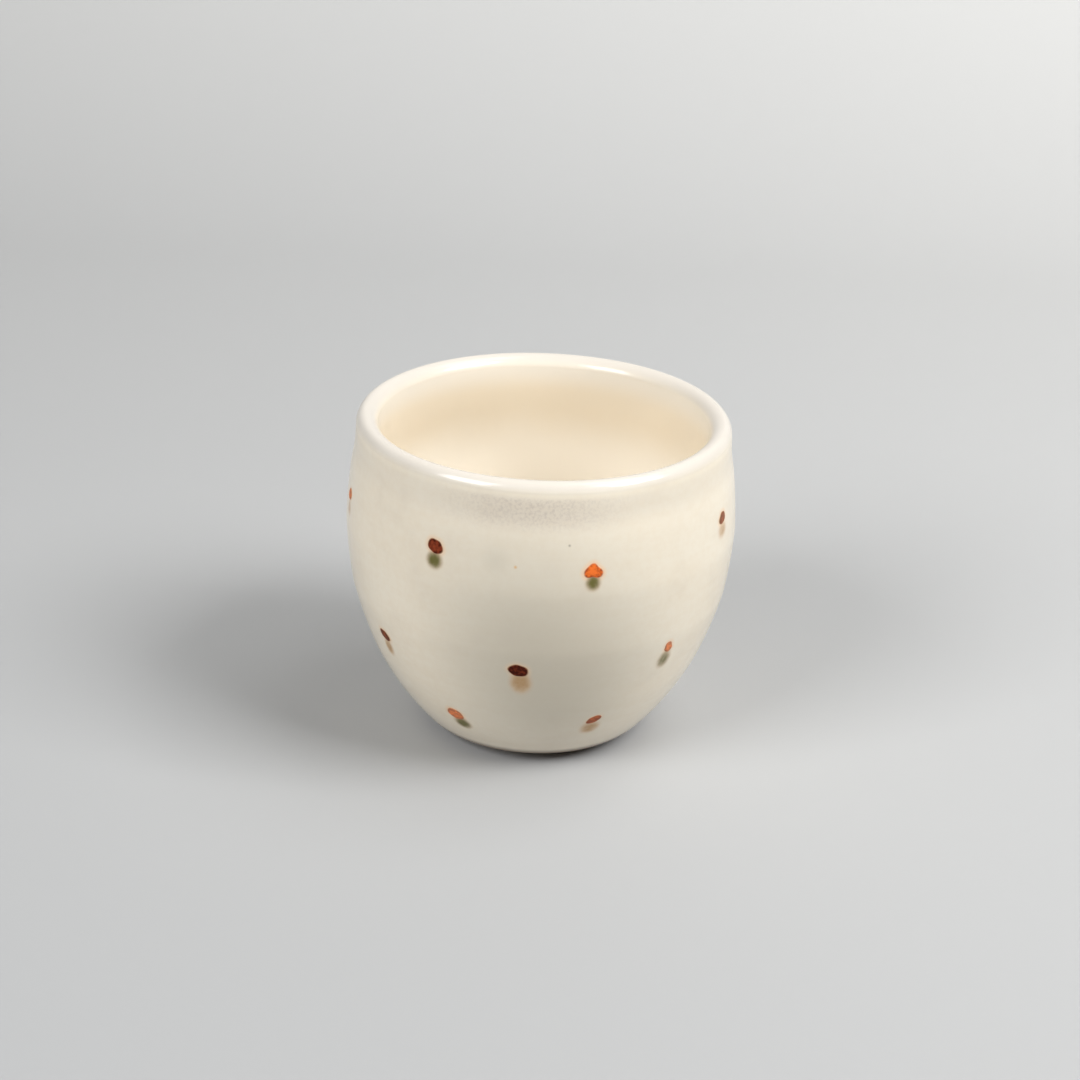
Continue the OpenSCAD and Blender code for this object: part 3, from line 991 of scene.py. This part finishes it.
class TEACUP_OT_brush_dabs(bpy.types.Operator):
    """Sets a dab of coloured glaze at each place, one piece for each of the two glazes"""

    bl_idname = "teacup.brush_dabs"
    bl_label = "Brush dabs"

    OUTLINE_STEPS = 28
    SUNK = 0.3 * MM
    # Rings from the edge to the middle: how wide each is beside the last, and its share of the rise
    DOME = ((0.88, 0.5), (0.75, 0.3), (0.75, 0.15), (0.8, 0.05))

    def shape(self, look, phase, rise):
        """A dab at the origin that faces up, with its foot sunk and its middle domed."""
        piece = begin_piece("dab")
        bearings = [math.tau * i / self.OUTLINE_STEPS for i in range(self.OUTLINE_STEPS)]
        ring = [dab_reach(look, bearing, phase) * toward(bearing) for bearing in bearings]
        draw_line([Vector((point.x, point.y, -self.SUNK)) for point in ring])
        bpy.ops.mesh.select_all(action="SELECT")
        bpy.ops.mesh.edge_face_add()
        bpy.ops.mesh.normals_make_consistent(inside=False)
        bpy.ops.mesh.extrude_region_move(TRANSFORM_OT_translate={"value": (0, 0, self.SUNK)})
        for narrowed, step_up in self.DOME:
            bpy.ops.mesh.extrude_region_move(TRANSFORM_OT_translate={"value": (0, 0, rise * step_up)})
            bpy.ops.transform.resize(value=(narrowed, narrowed, 1))
        bpy.ops.mesh.poke()
        bpy.ops.mesh.select_all(action="SELECT")
        bpy.ops.mesh.normals_make_consistent(inside=False)
        bpy.ops.object.mode_set(mode="OBJECT")
        smooth = piece.modifiers.new("melted", "SUBSURF")
        smooth.levels = smooth.render_levels = 1
        apply_modifier(piece, smooth)
        write_attribute(
            piece,
            "edge",
            lambda at: min(1, at.xy.length / dab_reach(look, math.atan2(at.y, at.x), phase)),
        )
        write_attribute(piece, "tone", lambda at: look.tone)
        write_attribute(piece, "melt", lambda at: look.melt)
        return piece

    def execute(self, context):
        form, colours = context.scene.cup_form, context.scene.cup_colours
        coat = bpy.data.objects["dipped_outer_glaze"]
        brushed = {"maroon": [], "orange": []}
        for turn, level, look, phase in numbered_dabs():
            piece = self.shape(look, phase, form.dab_rise)
            stand_on_wall(piece, coat, turn, level)
            brushed[look.glaze].append(piece)
        for glaze, dabs in brushed.items():
            joined = join_as(f"brushed_{glaze}_dabs", dabs)
            dark, bright = getattr(colours, f"{glaze}_dark"), getattr(colours, f"{glaze}_bright")
            material = dab_finish(f"{glaze}_glaze", dark, bright, colours.blush)
            finish_piece(joined, material, f"{glaze}_dabs")
        return {"FINISHED"}


class TEACUP_OT_let_stains_run(bpy.types.Operator):
    """Lets each dab tinge the glaze and run down it in a soft stain, one piece for each colour"""

    bl_idname = "teacup.let_stains_run"
    bl_label = "Let stains run"

    OUTLINE_STEPS = 40
    RINGS = 14
    # A run reaches this far past its dab and its stain
    MARGIN = 0.5 * MM
    # The middle of a run lies this far above the coat, and its rim this far below
    PROUD = 0.012 * MM
    SUNK = 0.008 * MM
    THICKNESS = 0.2 * MM
    # Share of the way from its middle to its rim at which a stain starts to fade
    FADES_FROM = 0.15
    # How far the blush round a dab reaches, and how strong it is round the darkest
    BLUSH_WIDTH = 1.2 * MM
    LEAST_BLUSH = 0.4

    def oval(self, look):
        """The oval that a run fills: its middle's height from the dab's, half width and half height."""
        half_dab = look.long * MM / 2 + self.BLUSH_WIDTH
        half_stain = (look.stain_wide / 2 + abs(look.stain_shift)) * MM
        top = half_dab + self.MARGIN
        bottom = -(look.stain_drop + look.stain_tall / 2) * MM - self.MARGIN
        return (top + bottom) / 2, max(half_dab, half_stain) + self.MARGIN, (top - bottom) / 2

    def share_out(self, look, at):
        """0 in the middle of a run, 1 at its rim."""
        middle, half_wide, half_tall = self.oval(look)
        return math.hypot(at.x / half_wide, (at.y - middle) / half_tall)

    def strength(self, look, at):
        """How strong the stain is at a place: full in the middle, nothing at its rim."""
        across = (at.x - look.stain_shift * MM) / (look.stain_wide * MM / 2)
        down = (at.y + look.stain_drop * MM) / (look.stain_tall * MM / 2)
        return look.stain_strength * smooth_step((1 - math.hypot(across, down)) / (1 - self.FADES_FROM))

    def blush(self, look, phase, at):
        """How far the dab tinged the glaze at a place: most at its edge, and more by a light dab."""
        past_edge = at.xy.length - dab_reach(look, math.atan2(at.y, at.x), phase)
        most = self.LEAST_BLUSH + (1 - self.LEAST_BLUSH) * look.tone
        return most * smooth_step(1 - past_edge / self.BLUSH_WIDTH)

    def shape(self, look, phase):
        """A flat run at the origin that faces up, in rings round its middle."""
        piece = begin_piece("run")
        middle, half_wide, half_tall = self.oval(look)
        bearings = [math.tau * i / self.OUTLINE_STEPS for i in range(self.OUTLINE_STEPS)]
        draw_line([Vector((half_wide * math.cos(b), half_tall * math.sin(b), 0)) for b in bearings])
        bpy.ops.mesh.select_all(action="SELECT")
        bpy.ops.mesh.edge_face_add()
        for ring in range(self.RINGS, 1, -1):
            bpy.ops.mesh.extrude_region_move()
            shrunk = (ring - 1) / ring
            bpy.ops.transform.resize(value=(shrunk, shrunk, 1))
        bpy.ops.mesh.poke()
        # The first extrusion left the whole oval behind, under the rings
        bpy.ops.mesh.select_all(action="DESELECT")
        bpy.ops.mesh.select_face_by_sides(number=self.OUTLINE_STEPS)
        bpy.ops.mesh.delete(type="ONLY_FACE")
        bpy.ops.mesh.select_all(action="SELECT")
        bpy.ops.transform.translate(value=(0, middle, 0))
        bpy.ops.mesh.normals_make_consistent(inside=False)
        bpy.ops.object.mode_set(mode="OBJECT")
        if piece.data.polygons[0].normal.z < 0:
            bpy.ops.object.mode_set(mode="EDIT")
            bpy.ops.mesh.flip_normals()
            bpy.ops.object.mode_set(mode="OBJECT")
        write_attribute(piece, "stain", lambda at: self.strength(look, at))
        write_attribute(piece, "blush", lambda at: self.blush(look, phase, at))
        # Nearly full over most of the run, nothing at its rim
        swelling = piece.vertex_groups.new(name="swelling")
        for vertex in piece.data.vertices:
            weight = clamped(1 - self.share_out(look, vertex.co) ** 4)
            swelling.add([vertex.index], weight, "REPLACE")
        return piece

    def lay_on(self, piece, coat):
        """Bends a flat run onto the coat, as a shallow lens whose rim slips under the coat's face."""
        wrap = piece.modifiers.new("on_glaze", "SHRINKWRAP")
        wrap.target = coat
        wrap.wrap_method = "NEAREST_SURFACEPOINT"
        wrap.wrap_mode = "ABOVE_SURFACE"
        wrap.offset = -self.SUNK
        apply_modifier(piece, wrap)
        swell = piece.modifiers.new("swell", "DISPLACE")
        swell.mid_level = 0
        swell.strength = self.SUNK + self.PROUD
        swell.vertex_group = "swelling"
        apply_modifier(piece, swell)
        wall = piece.modifiers.new("in_glaze", "SOLIDIFY")
        wall.thickness = self.THICKNESS
        wall.offset = -1
        apply_modifier(piece, wall)

    def execute(self, context):
        colours = context.scene.cup_colours
        coat = bpy.data.objects["dipped_outer_glaze"]
        runs = {"green": [], "brown": []}
        for turn, level, look, phase in numbered_dabs():
            piece = self.shape(look, phase)
            stand_on_wall(piece, coat, turn, level)
            self.lay_on(piece, coat)
            runs[look.stain].append(piece)
        painted_shade = wall_places(coat, PAINTED_SHADE)
        for stain, pieces in runs.items():
            joined = join_as(f"melted_{stain}_runs", pieces)
            material = stain_finish(f"{stain}_stain", colours, painted_shade, getattr(colours, stain))
            finish_piece(joined, material, f"{stain}_runs")
        return {"FINISHED"}


class TEACUP_OT_set_stage(bpy.types.Operator):
    """Lays the floor, hangs three softboxes and sets up the camera"""

    bl_idname = "teacup.set_stage"
    bl_label = "Set stage"

    # Width of the paper, and length of what lies flat, in metres like all sizes of the stage
    FLOOR_SIZE = 2.4
    # The paper lies flat up to here behind the cup, then curves up with this radius
    SWEEP_START = 0.36
    SWEEP_RADIUS = 0.3
    SWEEP_STEPS = 24
    # Height of the paper above the curve
    SWEEP_RISE = 0.35
    # Where the camera stands, how far it looks down and how far it leans over
    CAMERA_PLACE = Vector((0, -0.42011, 0.23435))
    CAMERA_DOWN = math.radians(24.4)
    CAMERA_ROLL = math.radians(2.11)
    # Half of the 1080 x 1080 image and the distance to it, in its pixels
    HALF_IMAGE = 540
    IMAGE_DISTANCE = 2024.4
    # The softboxes point here
    AIM = Vector((0, 0, 0.035))
    # Brightness of the room past the paper, where 1 is white
    PALE_ROOM = 0.62
    SOFTBOX_SIZE = 0.6
    SOFTBOX_DISTANCE = 1.3
    # Turn from the front to the right, and rise, of each softbox in degrees
    SOFTBOXES = {"right": (66, 46), "left": (-48, 37), "top": (105, 68)}

    def floor(self, look):
        deselect_all()
        bpy.ops.mesh.primitive_plane_add(size=self.FLOOR_SIZE)
        floor = bpy.context.object
        floor.name = floor.data.name = "paper_floor"
        bpy.ops.object.mode_set(mode="EDIT")
        bpy.ops.transform.translate(value=(0, self.SWEEP_START - self.FLOOR_SIZE / 2, 0))
        bpy.ops.mesh.select_all(action="DESELECT")
        bpy.ops.object.mode_set(mode="OBJECT")
        for edge in floor.data.edges:
            ends = [floor.data.vertices[index].co.y for index in edge.vertices]
            edge.select = all(abs(end - self.SWEEP_START) < MM for end in ends)
        bpy.ops.object.mode_set(mode="EDIT")
        bpy.ops.mesh.select_mode(type="EDGE")
        bpy.ops.mesh.spin(
            steps=self.SWEEP_STEPS,
            angle=QUARTER_TURN,
            center=(0, self.SWEEP_START, self.SWEEP_RADIUS),
            axis=(-1, 0, 0),
        )
        bpy.ops.mesh.extrude_edges_move(TRANSFORM_OT_translate={"value": (0, 0, self.SWEEP_RISE)})
        bpy.ops.mesh.select_mode(type="VERT")
        weld_and_face_outwards()
        floor.data.materials.append(floor_finish(look))

    def softbox(self, name, turn, rise, level):
        """A square lamp. Where its level is 1, a surface that faces it shows in its own colour."""
        distance = self.SOFTBOX_DISTANCE
        rise = math.radians(rise)
        place = on_wall(turn, math.sin(rise) * distance, math.cos(rise) * distance)
        light = bpy.data.lights.new(name, "AREA")
        light.shape = "SQUARE"
        light.size = self.SOFTBOX_SIZE
        light.energy = level * (math.pi * distance) ** 2
        box = bpy.data.objects.new(name, light)
        bpy.context.collection.objects.link(box)
        box.location = place
        box.rotation_euler = (self.AIM - place).to_track_quat("-Z", "Y").to_euler()

    def surroundings(self, look):
        """A pale room where the camera or a reflection looks past the paper, and a little light."""
        world = bpy.data.worlds.new("studio")
        world.use_nodes = True
        start = Field(world.node_tree, None)
        seen, mirrored = (
            start.node("ShaderNodeLightPath", {}, {}, ray) for ray in ("Is Camera Ray", "Is Glossy Ray")
        )
        shown = seen.maths("MAXIMUM", seen, mirrored)
        strength = look.ambient + (self.PALE_ROOM - look.ambient) * shown
        sky = world.node_tree.nodes["Background"]
        sky.inputs["Color"].default_value = (1, 1, 1, 1)
        world.node_tree.links.new(strength.socket, sky.inputs["Strength"])
        bpy.context.scene.world = world

    def camera(self):
        lens = bpy.data.cameras.new("photo_camera")
        lens.angle = 2 * math.atan(self.HALF_IMAGE / self.IMAGE_DISTANCE)
        lens.clip_start = 0.01
        camera = bpy.data.objects.new("photo_camera", lens)
        bpy.context.collection.objects.link(camera)
        tilt = Matrix.Rotation(QUARTER_TURN - self.CAMERA_DOWN, 4, "X")
        roll = Matrix.Rotation(self.CAMERA_ROLL, 4, "Z")
        camera.matrix_world = Matrix.Translation(self.CAMERA_PLACE) @ tilt @ roll
        bpy.context.scene.camera = camera

    def execute(self, context):
        look = context.scene.stage_look
        self.floor(look)
        for side, (turn, rise) in self.SOFTBOXES.items():
            self.softbox(f"{side}_softbox", turn, rise, getattr(look, f"{side}_light"))
        self.surroundings(look)
        self.camera()
        context.scene.view_settings.view_transform = "Standard"
        return {"FINISHED"}


class TEACUP_PT_sidebar(bpy.types.Panel):
    """Lists the steps of making the cup, and its sizes and colours"""

    bl_idname = "TEACUP_PT_sidebar"
    bl_label = "Teacup"
    bl_space_type = "VIEW_3D"
    bl_region_type = "UI"
    bl_category = "Teacup"

    def draw(self, context):
        for step in STEPS:
            self.layout.operator(step.bl_idname)
        for group in (context.scene.cup_form, context.scene.cup_colours, context.scene.stage_look):
            box = self.layout.box()
            for name in group.__annotations__:
                box.prop(group, name)


STEPS = (
    TEACUP_OT_throw_clay_body,
    TEACUP_OT_pour_liner_glaze,
    TEACUP_OT_dip_outer_glaze,
    TEACUP_OT_brush_dabs,
    TEACUP_OT_let_stains_run,
    TEACUP_OT_set_stage,
)
CLASSES = (CupForm, CupColours, StageLook, *STEPS, TEACUP_PT_sidebar)


def register():
    for each in CLASSES:
        bpy.utils.register_class(each)
    bpy.types.Scene.cup_form = PointerProperty(type=CupForm)
    bpy.types.Scene.cup_colours = PointerProperty(type=CupColours)
    bpy.types.Scene.stage_look = PointerProperty(type=StageLook)


def unregister():
    del bpy.types.Scene.stage_look
    del bpy.types.Scene.cup_colours
    del bpy.types.Scene.cup_form
    for each in reversed(CLASSES):
        bpy.utils.unregister_class(each)


def main():
    register()
    bpy.ops.teacup.throw_clay_body()
    bpy.ops.teacup.pour_liner_glaze()
    bpy.ops.teacup.dip_outer_glaze()
    bpy.ops.teacup.brush_dabs()
    bpy.ops.teacup.let_stains_run()
    bpy.ops.teacup.set_stage()


if __name__ == "__main__":
    main()
